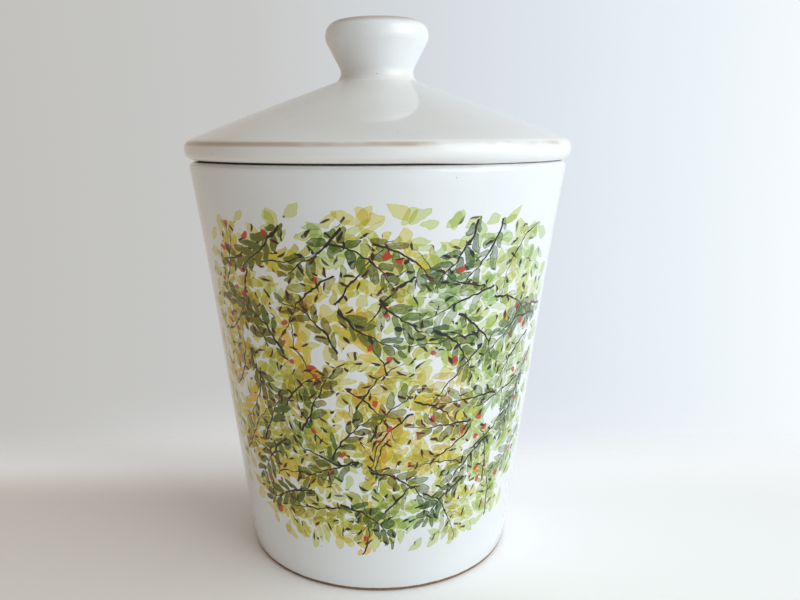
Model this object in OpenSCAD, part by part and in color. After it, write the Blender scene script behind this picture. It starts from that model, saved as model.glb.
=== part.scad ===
// Tapered stoneware olive jar with a lift-off lid.
// The jar and the lid are each one fired piece, so each is one turned section.
// Z runs up the axis, and z = 0 is the plane that the jar's foot stands on.

/* [Jar] */
// Outer diameter of the jar at its rim
rim_d = 120; // [104:1:150]
// Outer diameter of the jar at its foot
foot_d = 87.7; // [72:0.1:98]
// Height of the jar from the foot to the rim
jar_h = 128.5; // [110:0.5:180]
// Wall of the jar, measured level
wall_t = 5; // [3.6:0.1:7]
// Floor of the jar above the recess under its foot
floor_t = 5.5; // [4:0.1:9]
// How far the side lies inside a straight taper
side_hollow = 0.4; // [0:0.1:2]
// Height at which the side lies furthest in
hollow_z = 96; // [60:1:100]
// Round between the floor and the wall inside
inner_round = 10; // [4:0.5:14]
// Round on each edge of the rim
rim_round = 1.4; // [0.5:0.1:1.7]

/* [Foot] */
// Width of the ring that the jar stands on
foot_ring_w = 5.5; // [3.5:0.1:9]
// Depth of the recess inside the foot ring
foot_recess = 2.5; // [1.8:0.1:4]
// Round on each edge of the foot ring
foot_round = 1; // [0.4:0.1:1.6]
// Round in the corner of the recess
recess_round = 0.7; // [0.3:0.1:1.2]

/* [Lid] */
// How far the lid's edge stands out past the rim
lid_overhang = 1.05; // [0.3:0.05:3]
// Height of the lid's edge, from the seat to the start of the cone
edge_h = 5.8; // [5.6:0.1:9]
// Round on the top and bottom of the lid's edge
edge_round = 3; // [1:0.1:3]
// Slope of the cone in degrees
cone_slope = 20.8; // [14:0.2:28]
// How far the cone swells above its straight slope
cone_bow = 0.4; // [0:0.1:1.5]
// Distance in from the edge at which the cone swells most
cone_bow_in = 19; // [10:1:26]
// Thickness of the lid's shell under the cone, the neck and the knob
lid_t = 5; // [4:0.1:6]

/* [Knob] */
// Diameter at the narrowest part of the neck
neck_d = 23.1; // [21:0.1:27]
// Round between the cone and the knob
neck_round = 3.2; // [2:0.1:4]
// Diameter of the knob at its widest
knob_d = 32.7; // [30:0.1:44]
// Angle of the knob's flare from upright, in degrees
knob_flare = 28; // [22:1:30]
// Height of the knob's edge above its flare
knob_edge_h = 5.7; // [5.7:0.1:12]
// Round on the top and bottom of the knob's edge
knob_round = 4.4; // [1:0.1:4.4]
// Rise of the knob's top from its edge to its middle
knob_crown = 0.5; // [0.2:0.1:2]
// Round at the top of the hollow inside the knob
hollow_round = 3; // [0.5:0.1:3]

/* [Locating ring] */
// Clearance between the ring and the inside of the mouth
ring_gap = 1.2; // [0.5:0.1:3]
// How far the ring reaches down into the mouth
ring_h = 9; // [5:0.5:20]
// Thickness of the ring at its lower edge
ring_t = 4; // [3:0.1:6]
// Round on each lower edge of the ring
ring_round = 1.2; // [0.4:0.1:1.4]
// Round between the ring and the seat outside it
seat_round = 0.8; // [0.2:0.1:1]
// Round between the ring and the cone inside it
ring_fillet = 4; // [1:0.5:6]

/* [Hidden] */
$fn = 144;

// Straight steps along a long curve, and along the round of a corner
curve_steps = 8;
round_steps = 8;

rim_r = rim_d / 2;
foot_r = foot_d / 2;
floor_z = foot_recess + floor_t;
foot_in_r = foot_r - foot_ring_w;

lid_r = rim_r + lid_overhang;
seat_z = jar_h;
cone_z = seat_z + edge_h;
neck_r = neck_d / 2;
knob_r = knob_d / 2;

// The cone and the knob's flare meet in a crease, and the neck is the round in it.
// Half of the angle between them, and the direction in which the crease opens
crease_half = (90 - knob_flare + cone_slope) / 2;
crease_dir = (90 - knob_flare - cone_slope) / 2;
crease_way = [cos(crease_dir), sin(crease_dir)] / sin(crease_half);
crease_r = neck_r + neck_round * (1 - crease_way.x);
crease = [crease_r, cone_z + (lid_r - crease_r) * tan(cone_slope)];
hollow_crease = crease - lid_t * crease_way;

knob_low_z = crease.y + (knob_r - crease.x) / tan(knob_flare);
knob_top_z = knob_low_z + knob_edge_h;
hollow_top_z = knob_top_z - lid_t;
hollow_top_r = hollow_crease.x + (hollow_top_z - hollow_crease.y) * tan(knob_flare);

ring_low_z = seat_z - ring_h;
ring_in_r = ring_out_r(ring_low_z) - ring_t;

// Swell from 0 at each end of a run to 1 where the run is the share peak along
function swell(along, peak) = sin(180 * pow(along, ln(0.5) / ln(peak)));

// Outer and inner radius of the jar at the height z
function side_r(z) =
    foot_r + (rim_r - foot_r) * z / jar_h
    - side_hollow * swell(z / jar_h, hollow_z / jar_h);
function inner_r(z) = side_r(z) - wall_t;

// Outer radius of the locating ring, which follows the inside of the mouth
function ring_out_r(z) = inner_r(z) - ring_gap;

// Height of the cone's outer face at the radius r, and of its straight underside
function cone_top_z(r) =
    cone_z + (lid_r - r) * tan(cone_slope)
    + cone_bow * swell((lid_r - r) / (lid_r - crease.x), cone_bow_in / (lid_r - crease.x));
function cone_under_z(r) =
    cone_z + (lid_r - r) * tan(cone_slope) - lid_t / cos(cone_slope);

function unit(v) = v / norm(v);

// Arc of radius r in the corner at b, on the way from a to c
function corner_arc(a, b, c, r) =
    let (
        to_a = unit(a - b),
        to_c = unit(c - b),
        half = acos(to_a * to_c) / 2,
        middle = b + unit(to_a + to_c) * r / sin(half),
        start = b + to_a * r / tan(half) - middle,
        from = atan2(start.y, start.x),
        turn = sign(cross(to_a, to_c)) * (2 * half - 180)
    )
    [for (i = [0 : round_steps])
        let (angle = from + turn * i / round_steps)
        middle + r * [cos(angle), sin(angle)]];

// Points of a closed path of [radius, height, round of the corner]
function rounded(path) =
    let (count = len(path), flat = [for (p = path) [p.x, p.y]])
    [for (i = [0 : count - 1])
        each path[i].z == 0
            ? [flat[i]]
            : corner_arc(flat[(i + count - 1) % count], flat[i], flat[(i + 1) % count], path[i].z)];

// Points strictly between two heights on the outer or inner side, from z0 to z1
function outer_side(z0, z1) =
    [for (i = [1 : curve_steps - 1])
        let (z = z0 + (z1 - z0) * i / curve_steps) [side_r(z), z, 0]];
function inner_side(z0, z1) = [for (p = outer_side(z0, z1)) [p.x - wall_t, p.y, 0]];

// Points strictly between the lid's edge and the crease, on the cone's outer face
function cone_side() =
    [for (i = [1 : curve_steps - 1])
        let (r = lid_r + (crease.x - lid_r) * i / curve_steps) [r, cone_top_z(r), 0]];

module turned(path) {
    rotate_extrude()
        polygon(rounded(path));
}

// Jar with an even wall, a rounded rim and a recessed foot ring
module jar() {
    color([0.93, 0.93, 0.90])
        turned(concat(
            [[0, foot_recess, 0],
             [foot_in_r, foot_recess, recess_round],
             [foot_in_r, 0, foot_round],
             [foot_r, 0, foot_round]],
            outer_side(0, jar_h),
            [[rim_r, jar_h, rim_round],
             [rim_r - wall_t, jar_h, rim_round]],
            inner_side(jar_h, floor_z),
            [[inner_r(floor_z), floor_z, inner_round],
             [0, floor_z, 0]]
        ));
}

// Lid whose shell follows the cone, the neck and the knob, with a ring that
// drops into the mouth and a flat seat that rests on the rim
module lid() {
    color([0.94, 0.92, 0.86])
        turned(concat(
            [[ring_in_r, ring_low_z, ring_round],
             [ring_out_r(ring_low_z), ring_low_z, ring_round],
             [ring_out_r(seat_z), seat_z, seat_round],
             [lid_r, seat_z, edge_round],
             [lid_r, cone_z, edge_round]],
            cone_side(),
            [[crease.x, crease.y, neck_round],
             [knob_r, knob_low_z, knob_round],
             [knob_r, knob_top_z, knob_round],
             [0, knob_top_z + knob_crown, 0],
             [0, hollow_top_z, 0],
             [hollow_top_r, hollow_top_z, hollow_round],
             [hollow_crease.x, hollow_crease.y, neck_round + lid_t],
             [ring_in_r, cone_under_z(ring_in_r), ring_fillet]]
        ));
}

jar();
lid();
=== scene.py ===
"""Looks of a tapered olive jar: two glazed pieces, painted leafy sprigs, and a pale studio."""

import math

import bpy
import numpy as np
from mathutils import Euler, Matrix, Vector


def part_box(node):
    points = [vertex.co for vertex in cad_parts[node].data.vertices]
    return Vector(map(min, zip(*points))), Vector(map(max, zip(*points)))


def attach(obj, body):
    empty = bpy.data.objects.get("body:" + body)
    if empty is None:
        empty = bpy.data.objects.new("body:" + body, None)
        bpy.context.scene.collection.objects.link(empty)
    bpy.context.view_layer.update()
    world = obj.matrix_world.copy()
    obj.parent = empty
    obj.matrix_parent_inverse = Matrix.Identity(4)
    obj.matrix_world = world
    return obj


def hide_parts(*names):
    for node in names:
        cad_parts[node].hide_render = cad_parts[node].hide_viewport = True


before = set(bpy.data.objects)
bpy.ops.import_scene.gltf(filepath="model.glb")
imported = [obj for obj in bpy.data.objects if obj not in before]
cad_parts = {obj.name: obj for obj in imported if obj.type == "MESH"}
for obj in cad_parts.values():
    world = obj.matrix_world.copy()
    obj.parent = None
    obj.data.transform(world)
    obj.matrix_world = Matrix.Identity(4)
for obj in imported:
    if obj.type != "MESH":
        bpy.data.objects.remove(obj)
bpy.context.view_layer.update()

MM = 0.001
JAR_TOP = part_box("jar")[1].z
LID_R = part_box("lid")[1].x
LID_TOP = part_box("lid")[1].z

# Jar
RIM_R = 60 * MM
FOOT_R = 43.85 * MM
WALL = 5 * MM
FLOOR = 5.5 * MM
SIDE_HOLLOW = 0.4 * MM
HOLLOW_Z = 96 * MM
INNER_ROUND = 10 * MM
RIM_ROUND = 1.4 * MM
RIM_ROUND_OUT = 1.8 * MM
FOOT_RING = 5.5 * MM
FOOT_RECESS = 2.5 * MM
FOOT_ROUND = 1 * MM
FOOT_ROUND_OUT = 0.6 * MM
RECESS_ROUND = 0.7 * MM
GLAZE_LINE = 1.1 * MM
GLAZE_STEP = 0.15 * MM

# Lid
EDGE_H = 5.8 * MM
EDGE_ROUND = 3 * MM
CONE_SLOPE = math.radians(20.8)
CONE_BOW = 0.4 * MM
CONE_BOW_IN = 19 * MM
SHELL = 5 * MM
NECK_R = 11.55 * MM
NECK_ROUND = 3.2 * MM
KNOB_R = 16.35 * MM
KNOB_FLARE = math.radians(28)
KNOB_EDGE_H = 5.7 * MM
KNOB_ROUND = 4.4 * MM
KNOB_CROWN = 0.5 * MM
HOLLOW_ROUND = 3 * MM
RING_GAP = 1.2 * MM
RING_H = 9 * MM
RING_T = 4 * MM
RING_ROUND = 1.2 * MM
SEAT_ROUND = 0.8 * MM
RING_FILLET = 4 * MM

# The lid bears on the inner part of the rim. A fine gap runs outside that, and to the right
# it almost closes, between the two places that SEAM_CLOSES gives as shares of the radius.
BEARING_R = 57.0 * MM
SEAM_GAP = 0.45 * MM
SEAM_GAP_RIGHT = 0.06 * MM
SEAM_CLOSES = (0.15, 0.50)

# Fineness of the turned meshes, and the radius below which a point is a pole
TURN_STEPS = 288
SIDE_STEPS = 24
INNER_STEPS = 8
CONE_STEPS = 11
ROUND_STEPS = 10
POLE_R = 1e-9

# Most that a hand-finished wall lies inside a true circle, and the slow waves that make it
# so: share, waves in a turn, twist with height in radians per metre, and where it starts
UNEVEN = 0.12 * MM
WAVES = [(0.5, 2, 60, 0.0), (0.3, 3, -90, 1.7), (0.2, 5, 150, 0.6)]


def linear(red, green, blue):
    """A colour as seen on a screen, as the linear one that a shader takes."""
    curve = [c / 12.92 if c <= 0.04045 else ((c + 0.055) / 1.055) ** 2.4 for c in (red, green, blue)]
    return (*curve, 1.0)


# Turned shapes


def swell(along, peak):
    """A swell along a run: 0 at each end of it, and 1 at the share peak of its length."""
    return math.sin(math.pi * along ** (math.log(0.5) / math.log(peak)))


def side_r(z):
    taper = FOOT_R + (RIM_R - FOOT_R) * z / JAR_TOP
    return taper - SIDE_HOLLOW * swell(z / JAR_TOP, HOLLOW_Z / JAR_TOP)


def inner_r(z):
    return side_r(z) - WALL


def corner_arc(before, corner, after, radius):
    """Points of the round in a corner, on the way from one neighbour to the next."""
    to_a = (before - corner) / np.linalg.norm(before - corner)
    to_c = (after - corner) / np.linalg.norm(after - corner)
    half = math.acos(np.clip(to_a @ to_c, -1, 1)) / 2
    middle = corner + (to_a + to_c) / np.linalg.norm(to_a + to_c) * radius / math.sin(half)
    start = corner + to_a * radius / math.tan(half) - middle
    first = math.atan2(start[1], start[0])
    turn = np.sign(to_a[0] * to_c[1] - to_a[1] * to_c[0]) * (2 * half - math.pi)
    angles = first + turn * np.linspace(0, 1, ROUND_STEPS + 1)
    return [middle + radius * np.array([math.cos(a), math.sin(a)]) for a in angles]


def rounded(path):
    """The closed outline of a path of (radius, height, round of the corner)."""
    flat = [np.array(p[:2], float) for p in path]
    outline = []
    for i, (_, _, radius) in enumerate(path):
        if radius:
            outline += corner_arc(flat[i - 1], flat[i], flat[(i + 1) % len(flat)], radius)
        else:
            outline.append(flat[i])
    return outline


def jar_outline():
    """The jar's section, from the recess round the foot, up the side and down inside."""
    floor_z = FOOT_RECESS + FLOOR
    heights = np.linspace(GLAZE_LINE + 2 * GLAZE_STEP, JAR_TOP, SIDE_STEPS + 1)[:-1]
    inner_heights = np.linspace(JAR_TOP, floor_z, INNER_STEPS + 1)[1:-1]
    return rounded(
        [
            (0, FOOT_RECESS, 0),
            (FOOT_R - FOOT_RING, FOOT_RECESS, RECESS_ROUND),
            (FOOT_R - FOOT_RING, 0, FOOT_ROUND),
            (FOOT_R - GLAZE_STEP, 0, FOOT_ROUND_OUT),
            (side_r(GLAZE_LINE) - GLAZE_STEP, GLAZE_LINE, 0),
            *[(side_r(z), z, 0) for z in heights],
            (RIM_R, JAR_TOP, RIM_ROUND_OUT),
            (RIM_R - WALL, JAR_TOP, RIM_ROUND),
            *[(inner_r(z), z, 0) for z in inner_heights],
            (inner_r(floor_z), floor_z, INNER_ROUND),
            (0, floor_z, 0),
        ]
    )


def lid_outline():
    """The lid's section, from its ring out over the edge and the knob and back under the shell."""
    cone_z = JAR_TOP + EDGE_H
    ring_low = JAR_TOP - RING_H
    ring_out = inner_r(ring_low) - RING_GAP
    ring_in = ring_out - RING_T
    slope = math.tan(CONE_SLOPE)

    # The crease where the cone meets the knob's flare, and the way in which it opens
    half = (math.pi / 2 - KNOB_FLARE + CONE_SLOPE) / 2
    way = (math.pi / 2 - KNOB_FLARE - CONE_SLOPE) / 2
    opens = np.array([math.cos(way), math.sin(way)]) / math.sin(half)
    crease_r = NECK_R + NECK_ROUND * (1 - opens[0])
    crease = np.array([crease_r, cone_z + (LID_R - crease_r) * slope])
    hollow_crease = crease - SHELL * opens
    knob_low = crease[1] + (KNOB_R - crease_r) / math.tan(KNOB_FLARE)
    knob_top = knob_low + KNOB_EDGE_H
    hollow_top = knob_top - SHELL
    hollow_r = hollow_crease[0] + (hollow_top - hollow_crease[1]) * math.tan(KNOB_FLARE)

    def cone_top(r):
        along = (LID_R - r) / (LID_R - crease_r)
        bow = CONE_BOW * swell(along, CONE_BOW_IN / (LID_R - crease_r))
        return cone_z + (LID_R - r) * slope + bow

    cone = [(r, cone_top(r), 0) for r in np.linspace(LID_R, crease_r, CONE_STEPS + 1)[1:-1]]
    return rounded(
        [
            (ring_in, ring_low, RING_ROUND),
            (ring_out, ring_low, RING_ROUND),
            (inner_r(JAR_TOP) - RING_GAP, JAR_TOP, SEAT_ROUND),
            (BEARING_R, JAR_TOP, 0),
            (BEARING_R + SEAM_GAP, JAR_TOP + SEAM_GAP, 0),
            (LID_R, JAR_TOP + SEAM_GAP, EDGE_ROUND - SEAM_GAP),
            (LID_R, cone_z, EDGE_ROUND),
            *cone,
            (crease_r, crease[1], NECK_ROUND),
            (KNOB_R, knob_low, KNOB_ROUND),
            (KNOB_R, knob_top, KNOB_ROUND),
            (0, knob_top + KNOB_CROWN, 0),
            (0, hollow_top, 0),
            (hollow_r, hollow_top, HOLLOW_ROUND),
            (hollow_crease[0], hollow_crease[1], NECK_ROUND + SHELL),
            (ring_in, cone_z + (LID_R - ring_in) * slope - SHELL / math.cos(CONE_SLOPE), RING_FILLET),
        ]
    )


def uneven(azimuth, height):
    """How far the wall lies inside a true circle, as a share of the most."""
    waves = 0
    for share, count, twist, start in WAVES:
        waves += share * math.sin(count * azimuth + twist * height + start)
    return 0.5 - 0.5 * waves


def turned(name, outline):
    """Turns a closed outline about Z into a closed mesh, with one point at each pole."""
    verts = []
    rings = []
    for r, z in outline:
        if r < POLE_R:
            rings.append([len(verts)])
            verts.append((0, 0, z))
            continue
        rings.append(list(range(len(verts), len(verts) + TURN_STEPS)))
        for i in range(TURN_STEPS):
            azimuth = 2 * math.pi * i / TURN_STEPS
            inside = r - UNEVEN * uneven(azimuth, z) * min(1, r / FOOT_R)
            verts.append((inside * math.cos(azimuth), inside * math.sin(azimuth), z))
    faces = []
    for low, high in zip(rings, rings[1:] + rings[:1]):
        if len(low) == 1 and len(high) == 1:
            continue
        for i in range(TURN_STEPS):
            j = (i + 1) % TURN_STEPS
            if len(low) == 1:
                faces.append((low[0], high[j], high[i]))
            elif len(high) == 1:
                faces.append((low[i], low[j], high[0]))
            else:
                faces.append((low[i], low[j], high[j], high[i]))
    mesh = bpy.data.meshes.new(name)
    mesh.from_pydata(verts, [], faces)
    mesh.shade_smooth()
    piece = bpy.data.objects.new(name, mesh)
    bpy.context.scene.collection.objects.link(piece)
    return piece


def settle_edge(lid):
    """Lowers the lid's edge on the right, where it lies closer to the rim."""
    first, last = SEAM_CLOSES
    for vertex in lid.data.vertices:
        x, y, z = vertex.co
        radius = math.hypot(x, y)
        above = z - JAR_TOP
        if radius > BEARING_R + SEAM_GAP / 2 and above < EDGE_H:
            closed = min(max((x / radius - first) / (last - first), 0), 1)
            closed = closed * closed * (3 - 2 * closed)
            vertex.co.z -= (SEAM_GAP - SEAM_GAP_RIGHT) * closed * (1 - above / EDGE_H)


# Materials

# The colour sockets of a Mix node, which share their names with its other sockets
MIX_UNDER = 6
MIX_OVER = 7
MIX_RESULT = 2


class Wires:
    """Short ways to add nodes to a tree and to join them."""

    def __init__(self, tree):
        self.tree = tree

    def add(self, kind, inputs=(), **settings):
        node = self.tree.nodes.new("ShaderNode" + kind)
        for key, value in settings.items():
            setattr(node, key, value)
        for key, value in dict(inputs).items():
            self.put(node.inputs[key], value)
        return node

    def put(self, socket, value):
        if isinstance(value, bpy.types.NodeSocket):
            self.tree.links.new(value, socket)
        else:
            socket.default_value = value

    def math(self, operation, *values):
        return self.add("Math", enumerate(values), operation=operation).outputs[0]

    def product(self, first, *others):
        for other in others:
            first = self.math("MULTIPLY", first, other)
        return first

    def ranged(self, share, least, more):
        """From least where the share is 0 to least and more where it is 1."""
        return self.math("MULTIPLY_ADD", share, more, least)

    def vector(self, operation, *values):
        node = self.add("VectorMath", enumerate(values), operation=operation)
        return node.outputs["Value" if operation in ("LENGTH", "DISTANCE") else "Vector"]

    def scaled(self, vector, factor):
        return self.vector("MULTIPLY", vector, (factor, factor, factor))

    def combine(self, x=0.0, y=0.0, z=0.0):
        return self.add("CombineXYZ", {"X": x, "Y": y, "Z": z}).outputs[0]

    def split(self, vector):
        return list(self.add("SeparateXYZ", {"Vector": vector}).outputs)

    def step(self, value, low, high):
        """0 at low and before it, 1 at high and past it, and smooth between."""
        node = self.add("MapRange", interpolation_type="SMOOTHSTEP")
        for key, number in (("Value", value), ("From Min", low), ("From Max", high)):
            self.put(node.inputs[key], number)
        return node.outputs["Result"]

    def noise(self, place, scale, detail=2.0, rough=0.5):
        inputs = {"Vector": place, "Scale": scale, "Detail": detail, "Roughness": rough}
        return self.add("TexNoise", inputs).outputs

    def cells(self, place, scatter, dimensions="2D"):
        inputs = {"Vector": place, "Scale": 1.0, "Randomness": scatter}
        return self.add("TexVoronoi", inputs, voronoi_dimensions=dimensions).outputs

    def chance(self, *values):
        """Three even random numbers that the values fix."""
        noise = self.add("TexWhiteNoise", {"Vector": self.combine(*values)})
        return self.split(noise.outputs["Color"])

    def ramp(self, share, stops):
        node = self.add("ValToRGB", {"Fac": share})
        marks = node.color_ramp.elements
        marks[0].position, marks[0].color = stops[0]
        marks[1].position, marks[1].color = stops[-1]
        for position, colour in stops[1:-1]:
            marks.new(position).color = colour
        return node.outputs["Color"]

    def lay(self, share, under, over, mode="MIX"):
        """A colour laid on another, where share is how much of it is there."""
        node = self.add("Mix", data_type="RGBA", blend_type=mode)
        self.put(node.inputs["Factor"], share)
        self.put(node.inputs[MIX_UNDER], under)
        self.put(node.inputs[MIX_OVER], over)
        return node.outputs[MIX_RESULT]


# Inks of the sprigs, from warm to cool: pale ones are laid first and deep ones last
PALE_INKS = [
    (0.00, linear(0.95, 0.85, 0.26)),
    (0.35, linear(0.86, 0.87, 0.38)),
    (0.70, linear(0.74, 0.84, 0.52)),
    (1.00, linear(0.64, 0.79, 0.70)),
]
MID_INKS = [
    (0.00, linear(0.92, 0.72, 0.08)),
    (0.30, linear(0.84, 0.76, 0.14)),
    (0.52, linear(0.62, 0.67, 0.20)),
    (0.75, linear(0.50, 0.61, 0.28)),
    (1.00, linear(0.42, 0.58, 0.49)),
]
OLIVE_INKS = [
    (0.00, linear(0.66, 0.58, 0.12)),
    (0.30, linear(0.54, 0.56, 0.16)),
    (0.65, linear(0.42, 0.52, 0.24)),
    (1.00, linear(0.34, 0.48, 0.39)),
]
DEEP_INKS = [
    (0.00, linear(0.54, 0.48, 0.05)),
    (0.30, linear(0.38, 0.41, 0.06)),
    (0.55, linear(0.28, 0.38, 0.09)),
    (0.80, linear(0.19, 0.35, 0.17)),
    (1.00, linear(0.14, 0.31, 0.28)),
]
ACCENTS = [
    (0.00, linear(0.30, 0.08, 0.05)),
    (0.08, linear(0.17, 0.09, 0.02)),
    (0.25, linear(0.09, 0.11, 0.03)),
    (1.00, linear(0.04, 0.12, 0.08)),
]
TWIG = linear(0.11, 0.05, 0.025)
BERRY = linear(0.76, 0.20, 0.12)

# The painted front, in millimetres round the jar from its middle and up from the foot
PAINT_R = 52.0
PAINT_HALF_W = 62.0
PAINT_MIDDLE = 66.0
PAINT_HALF_H = 52.0
PAINT_CORNERS = 4.0

# Sprigs: one in each cell of a loose lattice, in layers from the first laid to the last
SPRIG_LAYERS = [
    dict(seed=3, pitch=20.0, half=12.5, leaf=9.0, leaf_pitch=5.0, splay=36, twig=0.0),
    dict(seed=11, pitch=21.0, half=12.5, leaf=7.5, leaf_pitch=4.4, splay=42, twig=0.0),
    dict(seed=23, pitch=20.0, half=12.5, leaf=7.0, leaf_pitch=4.2, splay=40, twig=0.20),
    dict(seed=35, pitch=21.0, half=12.5, leaf=6.4, leaf_pitch=3.8, splay=46, twig=0.24),
    dict(seed=47, pitch=22.0, half=11.5, leaf=6.0, leaf_pitch=3.8, splay=48, twig=0.27),
    dict(seed=59, pitch=26.0, half=10.5, leaf=5.6, leaf_pitch=3.6, splay=50, twig=0.27),
]
LAYER_INKS = [
    dict(inks=PALE_INKS, ink=0.85, mode="MULTIPLY"),
    dict(inks=PALE_INKS, ink=0.95, mode="MULTIPLY"),
    dict(inks=MID_INKS, ink=0.95, mode="MIX"),
    dict(inks=MID_INKS, ink=0.85, mode="MULTIPLY"),
    dict(inks=OLIVE_INKS, ink=1.00, mode="MULTIPLY"),
    dict(inks=DEEP_INKS, ink=1.05, mode="MIX"),
]

# How far a seed moves its layer, and what keeps the draws of leaves and of berries apart
SPRIG_SHIFT = (3.7, 5.3)
DAB_SHIFT = (37.0, 11.0)
LEAF_DRAW = 97.0
BERRY_DRAW = 53.0
BERRY_SEED = 7

# How far a sprig's middle strays, how far in from the front's edge it stays as a share of half
# a sprig, and how much its twig curves
SPRIG_SCATTER = 0.3
SPRIG_MARGIN = 0.72
TWIG_CURVE = 0.06

# Leaves: the least length and width with what chance adds, the powers that shape them, how far
# the two sides of a twig are out of step, the share that is missing and the share that has no
# vein, and how wide their soft edge, rim and vein are in millimetres
LEAF_LENGTH = (0.75, 0.5)
LEAF_WIDTH = (0.78, 0.3)
LEAF_BELLY = 0.9
LEAF_FULLNESS = 0.7
LEAF_STAGGER = 0.25
LEAF_LEAST = 0.01
LEAVES_MISSING = 0.1
LEAVES_PLAIN = 0.6
LEAF_EDGE = 0.14
LEAF_RIM = (0.08, 0.45)
LEAF_VEIN = (0.14, 0.04)

# Twigs: how much thinner they are at the tip than in the middle, how much of the sprig they
# reach, and how wide their soft edge is in millimetres
TWIG_THINS = 0.6
TWIG_REACH = 0.93
TWIG_EDGE = (-0.05, 0.08)

# Berries: one at most in each length of twig on each side. How far along and beside it one is,
# each the least with what chance adds, how much of the sprig they reach, their soft edge, the
# share that is missing, and the strength of their ink
BERRY_PITCH = 5.5
BERRY_ALONG = (0.25, 0.5)
BERRY_BESIDE = (1.5, 2.6)
BERRY_REACH = 0.8
BERRY_EDGE = (1.05, 0.85)
BERRIES_MISSING = 0.90
BERRY_INK = 0.92

# Loose dabs under the sprigs, and short dark accents over them
DAB_LAYERS = [
    dict(seed=1, pitch=6.6, length=7.0, width=3.4, spread=0.85, margin=1.0),
    dict(seed=2, pitch=5.6, length=5.6, width=2.8, spread=0.85, margin=1.0),
]
DARK_DABS = dict(seed=7, pitch=3.6, length=3.6, width=1.0, spread=0.75, margin=3.0)

# How far a dab's middle strays, the power that shapes it, how wide its soft edge and rim are
# in millimetres, and how strong its ink is with what its rim adds
DAB_SCATTER = 0.7
DAB_BELLY = 0.75
DAB_EDGE = 0.2
DAB_RIM = (0.1, 0.5)
DAB_INK = (0.68, 0.25)

# Accents lie among the leaves, which is where there is little blue in the colour
LITTLE_BLUE = (0.55, 0.30)

# The brush: how far its lines wander in millimetres, where inks turn from warm to cool, how streaky they
# are, and how they pool at a leaf's rim and vein and thin out to its tip.
# The turn to cool and the streaks both shift to the right as painted light, so the inks are cooler and
# paler on the lit right.
NOISE_MIDDLE = (0.5, 0.5, 0.5)
WANDER = 3.0
WANDER_SCALE = 0.22
COOL_SCALE = 0.024
COOL_FROM = (31.0, 7.0, 0)
COOL_PAINTED_LIGHT_TO_RIGHT = 0.21 / PAINT_HALF_W
WARM_TO_COOL = (0.36, 0.72)
STREAK_SCALE = 1.3
STREAK_PAINTED_LIGHT_TO_RIGHT = -0.45 / PAINT_HALF_W
STREAK_INK = 0.7
STREAK_MIDDLE = 0.52
RIM_INK = 0.3
VEIN_INK = 0.15
TIP_INK = -0.12

# How much of an ink's tone comes from the turn to cool, and how much from luck
DAB_COOL = 0.45
DAB_LUCK = 0.35
SPRIG_COOL = 0.42
SPRIG_LUCK = 0.25
LEAF_LUCK = 0.25


def in_front(f, spot, margin):
    """1 where a place is inside the painted front's rounded outline, and 0 outside it."""
    across = f.math("ABSOLUTE", f.math("DIVIDE", spot[0], PAINT_HALF_W - margin))
    up = f.math("SUBTRACT", spot[1], PAINT_MIDDLE)
    up = f.math("ABSOLUTE", f.math("DIVIDE", up, PAINT_HALF_H - margin))
    bulge = f.math("ADD", f.math("POWER", across, PAINT_CORNERS), f.math("POWER", up, PAINT_CORNERS))
    return f.math("LESS_THAN", bulge, 1.0)


def turned_to(f, offset, turn):
    """An offset from a centre, along and across a line that turns with a share of a circle."""
    angle = f.math("MULTIPLY", turn, 2 * math.pi)
    cos = f.math("COSINE", angle)
    sin = f.math("SINE", angle)
    x = f.math("ADD", f.math("MULTIPLY", offset[0], cos), f.math("MULTIPLY", offset[1], sin))
    y = f.math("SUBTRACT", f.math("MULTIPLY", offset[1], cos), f.math("MULTIPLY", offset[0], sin))
    return x, y


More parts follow.
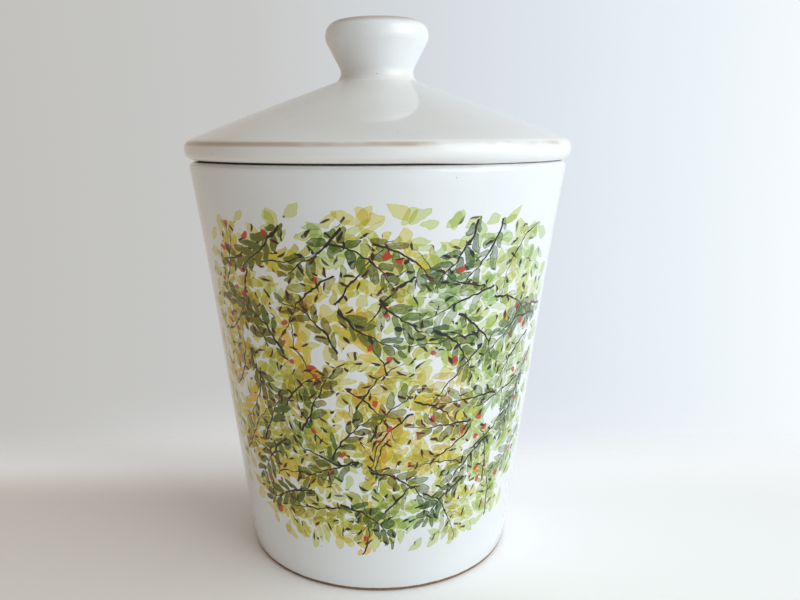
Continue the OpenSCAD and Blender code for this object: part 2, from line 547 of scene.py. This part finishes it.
def sprigs(f, place, seed, pitch, half, leaf, leaf_pitch, splay, twig):
    """Leafy sprigs tossed over the front: how much leaf, twig and berry is at each place."""
    shift = (seed * SPRIG_SHIFT[0], seed * SPRIG_SHIFT[1], 0)
    moved = f.vector("ADD", place, shift)
    cell = f.cells(f.scaled(moved, 1 / pitch), SPRIG_SCATTER)
    centre = f.scaled(cell["Position"], pitch)
    turn, bend, mood = f.split(cell["Color"])
    on_front = in_front(f, f.split(f.vector("SUBTRACT", centre, shift)), SPRIG_MARGIN * half)
    x, y = turned_to(f, f.split(f.vector("SUBTRACT", moved, centre)), turn)
    curve = f.math("MULTIPLY", f.math("SUBTRACT", bend, 0.5), TWIG_CURVE)
    y = f.math("SUBTRACT", y, f.product(curve, x, x))
    side = f.math("SIGN", y)
    out = f.math("ABSOLUTE", y)

    # Leaves stand at an angle to the twig, so a slanted measure along it counts them
    sin_splay = math.sin(math.radians(splay))
    slant = f.math("MULTIPLY_ADD", out, -1 / math.tan(math.radians(splay)), x)
    slant = f.math("MULTIPLY_ADD", side, LEAF_STAGGER * leaf_pitch, slant)
    number = f.math("FLOOR", f.math("DIVIDE", slant, leaf_pitch))
    pick = f.chance(number, side, f.math("MULTIPLY_ADD", turn, LEAF_DRAW, seed))
    start = f.math("MULTIPLY", f.math("ADD", number, 0.5), leaf_pitch)
    share = f.math("DIVIDE", start, half)
    room = f.math("SQRT", f.math("MAXIMUM", f.math("SUBTRACT", 1.0, f.product(share, share)), 0.0))
    length = f.product(f.ranged(pick[0], *LEAF_LENGTH), room, leaf)
    reach = f.math("DIVIDE", f.math("DIVIDE", out, sin_splay), f.math("MAXIMUM", length, LEAF_LEAST))
    along = f.math("POWER", f.math("MINIMUM", reach, 1.0), LEAF_BELLY)
    arch = f.math("SINE", f.math("MULTIPLY", along, math.pi))
    wide = f.math("MULTIPLY", f.ranged(pick[1], *LEAF_WIDTH), 0.5 * leaf_pitch * sin_splay)
    off = f.math("MULTIPLY", f.math("ABSOLUTE", f.math("SUBTRACT", slant, start)), sin_splay)
    inside = f.math("SUBTRACT", f.math("MULTIPLY", f.math("POWER", arch, LEAF_FULLNESS), wide), off)
    there = f.product(on_front, f.math("GREATER_THAN", pick[2], LEAVES_MISSING))
    leaf_on = f.product(f.step(inside, 0.0, LEAF_EDGE), there)
    rim = f.math("SUBTRACT", 1.0, f.step(inside, *LEAF_RIM))
    vein = f.product(f.step(off, *LEAF_VEIN), f.math("GREATER_THAN", pick[1], LEAVES_PLAIN))

    # The twig tapers to its tip
    thick = f.math("MULTIPLY_ADD", x, -TWIG_THINS * twig / half, twig)
    in_reach = f.math("LESS_THAN", f.math("ABSOLUTE", x), TWIG_REACH * half)
    twig_on = f.product(f.step(f.math("SUBTRACT", thick, out), *TWIG_EDGE), in_reach, on_front)

    # Berries sit beside the twig
    row = f.math("FLOOR", f.math("DIVIDE", x, BERRY_PITCH))
    luck = f.chance(row, side, f.math("MULTIPLY_ADD", turn, BERRY_DRAW, seed + BERRY_SEED))
    berry_x = f.math("MULTIPLY", f.math("ADD", row, f.ranged(luck[0], *BERRY_ALONG)), BERRY_PITCH)
    berry_y = f.ranged(luck[1], *BERRY_BESIDE)
    gap = f.vector("DISTANCE", f.combine(x, out), f.combine(berry_x, berry_y))
    near = f.math("LESS_THAN", f.math("ABSOLUTE", x), BERRY_REACH * half)
    berry = f.step(gap, *BERRY_EDGE)
    berry_on = f.product(berry, f.math("GREATER_THAN", luck[2], BERRIES_MISSING), near, on_front)
    leaves = dict(leaf=leaf_on, rim=rim, vein=vein, reach=reach, pick=pick, mood=mood)
    return dict(**leaves, twig=twig_on, berry=berry_on)


def dabs(f, place, seed, pitch, length, width, spread, margin):
    """Loose dabs of the brush. The spread is the share of cells that have one."""
    shift = (seed * DAB_SHIFT[0], seed * DAB_SHIFT[1], 0)
    moved = f.vector("ADD", place, shift)
    cell = f.cells(f.scaled(moved, 1 / pitch), DAB_SCATTER)
    centre = f.scaled(cell["Position"], pitch)
    turn, luck, mood = f.split(cell["Color"])
    on_front = in_front(f, f.split(f.vector("SUBTRACT", centre, shift)), margin)
    x, y = turned_to(f, f.split(f.vector("SUBTRACT", moved, centre)), turn)
    along = f.math("MINIMUM", f.math("MAXIMUM", f.math("MULTIPLY_ADD", x, 1 / length, 0.5), 0.0), 1.0)
    arch = f.math("SINE", f.math("MULTIPLY", f.math("POWER", along, DAB_BELLY), math.pi))
    inside = f.math("SUBTRACT", f.math("MULTIPLY", arch, width / 2), f.math("ABSOLUTE", y))
    dab_on = f.product(f.step(inside, 0.0, DAB_EDGE), on_front, f.math("LESS_THAN", luck, spread))
    return dict(leaf=dab_on, rim=f.math("SUBTRACT", 1.0, f.step(inside, *DAB_RIM)), mood=mood)


def painting(f, place, under):
    """Paints dabs and sprigs on the colour under them, each layer with its leaves, twigs and berries
    at once. Where a shader keeps many values waiting, Cycles shows the whole material black."""
    wobble = f.noise(place, WANDER_SCALE)["Color"]
    wobble = f.scaled(f.vector("SUBTRACT", wobble, NOISE_MIDDLE), WANDER)
    drift_and_painted_light = f.noise(f.vector("ADD", place, COOL_FROM), COOL_SCALE, detail=1.0)["Fac"]
    # Painted light: the inks turn cooler towards the lit right
    drift_and_painted_light = f.math("MULTIPLY_ADD", f.split(place)[0], COOL_PAINTED_LIGHT_TO_RIGHT, drift_and_painted_light)
    warm_cool = f.step(drift_and_painted_light, *WARM_TO_COOL)
    place = f.vector("ADD", place, wobble)
    streak_and_painted_light = f.noise(place, STREAK_SCALE, detail=3.0, rough=0.6)["Fac"]
    # Painted light: less ink towards the lit right, so the paint is paler there
    streak_and_painted_light = f.math("MULTIPLY_ADD", f.split(place)[0], STREAK_PAINTED_LIGHT_TO_RIGHT, streak_and_painted_light)
    colour = under
    for sizes in DAB_LAYERS:
        dab = dabs(f, place, **sizes)
        tone = f.math("MULTIPLY_ADD", warm_cool, DAB_COOL, f.math("MULTIPLY", dab["mood"], DAB_LUCK))
        share = f.product(dab["leaf"], f.ranged(dab["rim"], *DAB_INK))
        colour = f.lay(share, colour, f.ramp(tone, PALE_INKS), "MULTIPLY")
    for sizes, layer in zip(SPRIG_LAYERS, LAYER_INKS):
        sprig = sprigs(f, place, **sizes)
        luck = f.math("MULTIPLY", sprig["mood"], SPRIG_LUCK)
        luck = f.math("MULTIPLY_ADD", sprig["pick"][0], LEAF_LUCK, luck)
        tone = f.math("MULTIPLY_ADD", warm_cool, SPRIG_COOL, luck)
        body = f.math("MULTIPLY_ADD", streak_and_painted_light, STREAK_INK, layer["ink"] - STREAK_MIDDLE)
        body = f.math("MULTIPLY_ADD", sprig["rim"], RIM_INK, body)
        body = f.math("MULTIPLY_ADD", sprig["vein"], VEIN_INK, body)
        body = f.math("MULTIPLY_ADD", sprig["reach"], TIP_INK, body)
        share = f.product(sprig["leaf"], f.math("MINIMUM", body, 1.0))
        colour = f.lay(share, colour, f.ramp(tone, layer["inks"]), layer["mode"])
        if sizes["twig"]:
            colour = f.lay(sprig["twig"], colour, TWIG)
            colour = f.lay(f.math("MULTIPLY", sprig["berry"], BERRY_INK), colour, BERRY)
    accent = dabs(f, place, **DARK_DABS)
    dark = f.ramp(f.math("MULTIPLY", accent["mood"], warm_cool), ACCENTS)
    blue = f.split(colour)[2]
    return f.lay(f.product(accent["leaf"], f.step(blue, *LITTLE_BLUE)), colour, dark)


# Glaze and clay
JAR_WHITE = linear(0.930, 0.940, 0.948)
JAR_SHADE = linear(0.912, 0.922, 0.924)
LID_CREAM = linear(0.948, 0.950, 0.947)
LID_SHADE = linear(0.920, 0.912, 0.892)
THIN_GLAZE = linear(0.67, 0.56, 0.44)
SPECK = linear(0.36, 0.28, 0.22)
# Bare clay, partly its own brown and partly painted shade: set dark so that the foot's edge reads as the
# shadow where the jar meets the floor. The lid's bare seat takes the same colour.
CLAY_AND_PAINTED_SHADE = [(0.3, linear(0.40, 0.29, 0.21)), (0.7, linear(0.60, 0.48, 0.37))]

# Painted light: the lid's glaze turns paler and a little bluer from one of these heights to the other, so
# on the knob, as if lit there
KNOB_PAINTED_LIGHT = (LID_TOP - 20 * MM, LID_TOP - 12 * MM, linear(0.936, 0.945, 0.948))

# Turns that the glaze draws back from: radius, height, how far it does so, and how much
JAR_TURNS = [
    (RIM_R - 0.5 * MM, JAR_TOP - 0.5 * MM, 0.8 * MM, 0.3),
    (RIM_R - WALL + 0.4 * MM, JAR_TOP - 0.4 * MM, 0.8 * MM, 0.3),
]
LID_TURNS = [
    (LID_R - 0.5 * MM, JAR_TOP + EDGE_H - 0.4 * MM, 1.1 * MM, 0.65),
    (KNOB_R - 2.8 * MM, LID_TOP - 1.0 * MM, 2.8 * MM, 0.6),
]

# Patterns in the glaze and the clay, by how many there are to a metre
SHADE_SCALE = 22.0
THIN_SCALE = 70.0
SPECK_SCALE = 400.0
GLOSS_SCALE = 45.0
HOLLOWS_SCALE = 60.0
SKIN_SCALE = 420.0
RAGGED_SCALE = 260.0
GRAIN_SCALE = 1800.0

# Where those patterns begin and are full, and what each metre to the right adds to them: painted light,
# which takes the deeper shade and the thin patches away towards the lit right. Thin patches lie flat, and
# specks are missing from most cells and small in the others.
SHADE_FROM = (0.35, 0.75)
SHADE_PAINTED_LIGHT_TO_RIGHT = -3.0
THIN_FROM = (0.2, 0.65)
THIN_PAINTED_LIGHT_TO_RIGHT = -4.0
THIN_SOFT = 0.2
THIN_SQUASH = (1.0, 1.0, 3.0)
SPECKS_MISSING = 0.92
SPECK_EDGE = (0.12, 0.05)
SPECK_INK = 0.45

# Relief of the patterns, roughness of the glaze with what its pattern adds, what bare clay
# adds to that, and the bending of light by the glaze
HOLLOWS_H = 0.1 * MM
SKIN_H = 0.003 * MM
GRAIN_H = 0.05 * MM
GLAZE_ROUGH = (0.015, 0.05)
CLAY_ROUGHER = 0.7
GLAZE_IOR = 1.52

# Bare clay: how ragged its edge is, how soft that is on the foot, up to which height the foot
# of the lid's ring is bare, and how soft the seat's inner and outer edges are and how deep it is
RAGGED = 0.5 * MM
FOOT_EDGE = (0.15 * MM, -0.05 * MM)
RING_BARE = (JAR_TOP - RING_H + 0.9 * MM, JAR_TOP - RING_H + 0.6 * MM)
SEAT_SOFT = 0.1 * MM
SEAT_SOFT_OUT = 0.4 * MM
SEAT_BARE = (JAR_TOP + SEAM_GAP + 0.1 * MM, JAR_TOP + SEAM_GAP + 0.02 * MM)


def new_material(name):
    material = bpy.data.materials.new(name)
    material.use_nodes = True
    return material, Wires(material.node_tree), material.node_tree.nodes["Principled BSDF"]


def bare_foot(f, x, y, z):
    """Where the jar's foot is bare clay, below an uneven edge of glaze."""
    place = f.combine(x, y, z)
    edge = f.math("MULTIPLY_ADD", f.noise(place, RAGGED_SCALE)["Fac"], RAGGED, GLAZE_LINE - RAGGED / 2)
    return f.step(f.math("SUBTRACT", z, edge), *FOOT_EDGE)


def bare_seat(f, x, y, z):
    """Where the lid is bare clay: the foot of its ring and the seat that bears on the rim."""
    place = f.combine(x, y, z)
    ragged = f.math("MULTIPLY_ADD", f.noise(place, RAGGED_SCALE)["Fac"], RAGGED, -RAGGED / 2)
    low = f.step(f.math("SUBTRACT", z, ragged), *RING_BARE)
    radius = f.vector("LENGTH", f.combine(x, y))
    seat_in = inner_r(JAR_TOP) - RING_GAP + SEAT_ROUND
    seat_out = LID_R - EDGE_ROUND + SEAM_GAP
    seat = f.product(
        f.step(radius, seat_in - SEAT_SOFT, seat_in + SEAT_SOFT),
        f.step(radius, seat_out, seat_out - SEAT_SOFT_OUT),
        f.step(z, *SEAT_BARE),
    )
    return f.math("MAXIMUM", low, seat)


def glaze(name, tint, shade, bare_at, thin_at, painted_light_above=None, painted=False):
    """Glossy glaze over fired clay. The clay shows where it is bare, and through thin glaze on edges."""
    material, f, shader = new_material(name)
    place = f.add("TexCoord").outputs["Object"]
    x, y, z = f.split(place)
    radius = f.vector("LENGTH", f.combine(x, y))
    # The deeper shade lies in random patches and, as painted shade, more on the left than on the lit
    # right
    drift_and_painted_light = f.math("MULTIPLY_ADD", x, SHADE_PAINTED_LIGHT_TO_RIGHT, f.noise(place, SHADE_SCALE, detail=3.0)["Fac"])
    colour = f.lay(f.step(drift_and_painted_light, *SHADE_FROM), tint, shade)
    # Painted light: a paler, bluer glaze from one height up, on the knob
    if painted_light_above:
        low, high, pale = painted_light_above
        colour = f.lay(f.step(z, low, high), colour, pale)

    # Glaze draws back from sharp turns, so they are warmer. As painted light, these warm patches fade
    # towards the lit right.
    patchy_and_painted_light = f.noise(f.vector("MULTIPLY", place, THIN_SQUASH), THIN_SCALE, detail=3.0)["Fac"]
    patchy_and_painted_light = f.math("MULTIPLY_ADD", x, THIN_PAINTED_LIGHT_TO_RIGHT, patchy_and_painted_light)
    for edge_r, edge_z, reach, strength in thin_at:
        away = f.vector("DISTANCE", f.combine(radius, z), (edge_r, edge_z, 0))
        thin = f.product(f.step(away, reach, THIN_SOFT * reach), f.step(patchy_and_painted_light, *THIN_FROM), strength)
        colour = f.lay(thin, colour, THIN_GLAZE)

    # A few iron specks
    speck = f.cells(f.scaled(place, SPECK_SCALE), 1.0, "3D")
    rare = f.math("GREATER_THAN", f.split(speck["Color"])[0], SPECKS_MISSING)
    dot = f.product(f.step(speck["Distance"], *SPECK_EDGE), rare)
    colour = f.lay(f.math("MULTIPLY", dot, SPECK_INK), colour, SPECK)

    if painted:
        round_jar = f.math("MULTIPLY", f.math("ARCTAN2", x, f.math("MULTIPLY", y, -1.0)), PAINT_R)
        front = f.combine(round_jar, f.math("MULTIPLY", z, 1 / MM))
        taper = (RIM_R - FOOT_R) / JAR_TOP
        outside = f.math("GREATER_THAN", radius, f.math("MULTIPLY_ADD", z, taper, FOOT_R - WALL / 2))
        colour = f.lay(outside, colour, painting(f, front, colour))

    bare = bare_at(f, x, y, z)
    grain = f.noise(place, GRAIN_SCALE, detail=3.0, rough=0.7)["Fac"]
    f.put(shader.inputs["Base Color"], f.lay(bare, colour, f.ramp(grain, CLAY_AND_PAINTED_SHADE)))
    gloss = f.ranged(f.noise(place, GLOSS_SCALE, detail=3.0)["Fac"], *GLAZE_ROUGH)
    f.put(shader.inputs["Roughness"], f.math("MULTIPLY_ADD", bare, CLAY_ROUGHER, gloss))
    shader.inputs["IOR"].default_value = GLAZE_IOR

    # Orange-peel skin and slight hollows of the glaze, and the grain of the clay
    skin = f.math("MULTIPLY", f.noise(place, SKIN_SCALE)["Fac"], SKIN_H)
    hollows = f.math("MULTIPLY", f.noise(place, HOLLOWS_SCALE)["Fac"], HOLLOWS_H)
    coarse = f.math("MULTIPLY", f.product(grain, bare), GRAIN_H)
    height = f.math("ADD", f.math("ADD", skin, hollows), coarse)
    bump = f.add("Bump", {"Height": height, "Strength": 1.0, "Distance": 1.0})
    f.put(shader.inputs["Normal"], bump.outputs["Normal"])
    return material


# Studio

# Colours from left to right: of the air as the camera sees it, of the air as it lights the jar
# and is mirrored in it, and of the air below the floor's edge
AIR_COLOURS = [
    (0.00, linear(0.755, 0.750, 0.735)),
    (0.35, linear(0.785, 0.785, 0.780)),
    (0.72, linear(0.875, 0.905, 0.935)),
    (1.00, linear(0.965, 0.990, 1.000)),
]
LIGHT_COLOURS = [
    (0.00, linear(0.790, 0.745, 0.690)),
    (0.35, linear(0.790, 0.780, 0.770)),
    (0.55, linear(0.820, 0.840, 0.865)),
    (0.75, linear(0.890, 0.920, 0.950)),
    (1.00, linear(0.965, 0.990, 1.000)),
]
DOWN_COLOURS = [
    (0.00, linear(0.815, 0.805, 0.795)),
    (0.50, linear(0.890, 0.888, 0.884)),
    (1.00, linear(0.950, 0.955, 0.955)),
]
WHITE = (1.0, 1.0, 1.0, 1.0)
OVERHEAD_TINT = (1.0, 0.965, 0.91, 1.0)

# Parts of the air, each from where it begins to where it is full, by how far a ray to it
# points up, to the right or back
OVERHEAD = (0.15, 0.7)
UNDER = (0.0, -0.4)
BELOW_FLOOR = (-0.40, -0.60)
NEAR_FLOOR = (-0.30, -0.42)
NEAR_FLOOR_RIGHT = (-0.48, -0.20)
DIM_OVERHEAD_LEFT = (0.55, 0.05)
DIM_IN_FRONT = (-0.15, -0.75)
DIM_IN_FRONT_LEFT = (0.6, 0.2)

# The air's strength as light, what is added to that overhead and under the jar, how much white
# it takes near the floor, and how much it dims in a mirror overhead and in front
AIR_LIGHT = 0.555
ABOVE_LIGHT = 0.09
UNDER_LIGHT = 0.55
NEAR_FLOOR_WHITE = 0.3
DIM_OVERHEAD = 0.35
DIM_FRONT = 0.6

# The floor: a disc that fades out behind the jar and far from a point in front of it. Its colour is a
# little warmer and darker on the left, as painted shade.
FLOOR_SIZE = 0.6
FLOOR_SIDES = 96
FLOOR_FORWARD = 0.06
FADE_BEHIND = (0.095, 0.04)
FADE_AROUND = (0.50, 0.22)
FLOOR_ROUGH = 0.75
FLOOR_PAINTED_SHADE_TINTS = [(0.0, linear(0.98, 0.96, 0.94)), (0.6, linear(0.985, 0.985, 0.985))]

# Glow that the camera and mirrors see on the floor: its colours from left to right and at the
# back, where the right and the back begin and are full in metres, its least strength, what the
# right and the back each add, and what comes off again where they meet
FLOOR_GLOW = [
    (0.00, linear(0.84, 0.76, 0.70)),
    (0.50, linear(0.90, 0.89, 0.88)),
    (1.00, linear(0.96, 0.99, 1.00)),
]
FAR_GLOW = linear(0.95, 0.97, 1.00)
FLOOR_ACROSS = (-0.12, 0.10)
GLOW_RIGHT = (-0.005, 0.06)
GLOW_BACK = (0.012, 0.05)
GLOW_LEAST = 0.030
GLOW_AT_RIGHT = 0.150
GLOW_AT_BACK = 0.200
GLOW_AT_BOTH = -0.130

# Soft lamps, in metres and watts
LAMP_TARGET = (0, 0, 0.06)
WINDOW = dict(place=(0.74, -0.42, 0.50), width=0.9, height=0.9, power=5.65, colour=(0.885, 0.958, 1.0))
FILL = dict(place=(0.45, -0.62, 0.07), width=0.8, height=0.4, power=0.75, colour=(0.88, 0.955, 1.0))

# Camera of the photograph, a little above the lid's edge and turned down
CAMERA_PLACE = (-0.9 * MM, -251.6 * MM, 135.7 * MM)
CAMERA_DOWN = math.radians(12.16)
CAMERA_ROLL = math.radians(-0.28)
CAMERA_NEAR = 0.01
FRAME_W = 800
FOCAL_PX = 759.6
CENTRE_PX = 375.3
SENSOR = 36.0


def studio_floor():
    """Pale floor that fades into the air at the back and far out, and is brighter to the right."""
    material, f, shader = new_material("pale_floor")
    place = f.add("TexCoord").outputs["Object"]
    x, y, _ = f.split(place)
    far = f.vector("LENGTH", f.combine(x, f.math("ADD", y, FLOOR_FORWARD)))
    there = f.product(f.step(y, *FADE_BEHIND), f.step(far, *FADE_AROUND))
    across = f.step(x, *FLOOR_ACROSS)
    # Painted shade: the floor's colour is warmer and a little darker to the left
    f.put(shader.inputs["Base Color"], f.ramp(across, FLOOR_PAINTED_SHADE_TINTS))
    shader.inputs["Roughness"].default_value = FLOOR_ROUGH
    ray = f.add("LightPath").outputs
    seen = f.math("MAXIMUM", ray["Is Camera Ray"], ray["Is Glossy Ray"])
    right = f.step(x, *GLOW_RIGHT)
    back = f.step(y, *GLOW_BACK)
    glow = f.math("MULTIPLY_ADD", right, GLOW_AT_RIGHT, GLOW_LEAST)
    glow = f.math("ADD", glow, f.product(back, f.math("MULTIPLY_ADD", right, GLOW_AT_BOTH, GLOW_AT_BACK)))
    f.put(shader.inputs["Emission Color"], f.lay(back, f.ramp(across, FLOOR_GLOW), FAR_GLOW))
    f.put(shader.inputs["Emission Strength"], f.product(seen, glow))
    f.put(shader.inputs["Alpha"], there)
    bpy.ops.mesh.primitive_circle_add(vertices=FLOOR_SIDES, radius=FLOOR_SIZE, fill_type="NGON")
    floor = bpy.context.object
    floor.name = "pale_floor"
    floor.data.materials.append(material)


def studio_world():
    """Pale air: darker to the left, bright to the right, and dimmer as light than the camera sees it."""
    world = bpy.data.worlds.new("studio_air")
    bpy.context.scene.world = world
    world.use_nodes = True
    f = Wires(world.node_tree)
    x, y, z = f.split(f.add("TexCoord").outputs["Generated"])
    across = f.math("ADD", x, 0.5)
    ray = f.add("LightPath").outputs
    seen = ray["Is Camera Ray"]
    mirrored = ray["Is Glossy Ray"]

    # As light, and in mirrors
    high = f.step(z, *OVERHEAD)
    dim = f.product(high, f.step(x, *DIM_OVERHEAD_LEFT), f.math("MULTIPLY", mirrored, DIM_OVERHEAD))
    dim_front = f.product(f.step(y, *DIM_IN_FRONT), f.step(x, *DIM_IN_FRONT_LEFT), mirrored, DIM_FRONT)
    dim = f.math("ADD", dim, dim_front)
    level = f.math("MULTIPLY_ADD", mirrored, 1 - AIR_LIGHT, AIR_LIGHT)
    below = f.product(f.step(z, *UNDER), f.math("MULTIPLY_ADD", mirrored, -UNDER_LIGHT, UNDER_LIGHT))
    above = f.product(high, f.math("MULTIPLY_ADD", mirrored, -ABOVE_LIGHT, ABOVE_LIGHT))
    light = f.product(level, f.math("SUBTRACT", f.math("ADD", f.math("ADD", above, below), 1.0), dim))
    air_light = f.lay(high, f.ramp(across, LIGHT_COLOURS), OVERHEAD_TINT, "MULTIPLY")

    # As the camera sees it
    backdrop = world.node_tree.nodes["Background"]
    near_floor = f.product(f.step(z, *NEAR_FLOOR), f.step(x, *NEAR_FLOOR_RIGHT), NEAR_FLOOR_WHITE)
    air = f.lay(near_floor, f.ramp(across, AIR_COLOURS), WHITE)
    air = f.lay(f.step(z, *BELOW_FLOOR), air, f.ramp(across, DOWN_COLOURS))
    f.put(backdrop.inputs["Color"], f.lay(seen, air_light, air))
    f.put(backdrop.inputs["Strength"], f.math("MAXIMUM", seen, light))


def lamp(name, place, width, height, power, colour):
    """A rectangular soft lamp that points at the jar."""
    light = bpy.data.lights.new(name, "AREA")
    light.shape = "RECTANGLE"
    light.size = width
    light.size_y = height
    light.energy = power
    light.color = colour
    holder = bpy.data.objects.new(name, light)
    holder.location = place
    holder.rotation_euler = (Vector(LAMP_TARGET) - Vector(place)).to_track_quat("-Z", "Y").to_euler()
    holder.visible_camera = False
    bpy.context.scene.collection.objects.link(holder)


def camera():
    lens = bpy.data.cameras.new("photo_camera")
    lens.sensor_width = SENSOR
    lens.lens = SENSOR * FOCAL_PX / FRAME_W
    lens.shift_x = (FRAME_W / 2 - CENTRE_PX) / FRAME_W
    lens.clip_start = CAMERA_NEAR
    holder = bpy.data.objects.new("photo_camera", lens)
    holder.location = CAMERA_PLACE
    level = Euler((math.pi / 2 - CAMERA_DOWN, 0, 0)).to_matrix()
    holder.rotation_euler = (level @ Euler((0, 0, CAMERA_ROLL)).to_matrix()).to_euler()
    bpy.context.scene.collection.objects.link(holder)
    bpy.context.scene.camera = holder


camera()
studio_world()
studio_floor()
lamp("window", **WINDOW)
lamp("fill", **FILL)

jar = turned("glazed_jar", jar_outline())
jar.data.materials.append(glaze("white_glaze", JAR_WHITE, JAR_SHADE, bare_foot, JAR_TURNS, painted=True))
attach(jar, "jar")
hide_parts("jar")

lid = turned("glazed_lid", lid_outline())
settle_edge(lid)
lid.data.materials.append(glaze("cream_glaze", LID_CREAM, LID_SHADE, bare_seat, LID_TURNS, KNOB_PAINTED_LIGHT))
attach(lid, "lid")
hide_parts("lid")

bpy.context.scene.view_settings.view_transform = "Standard"
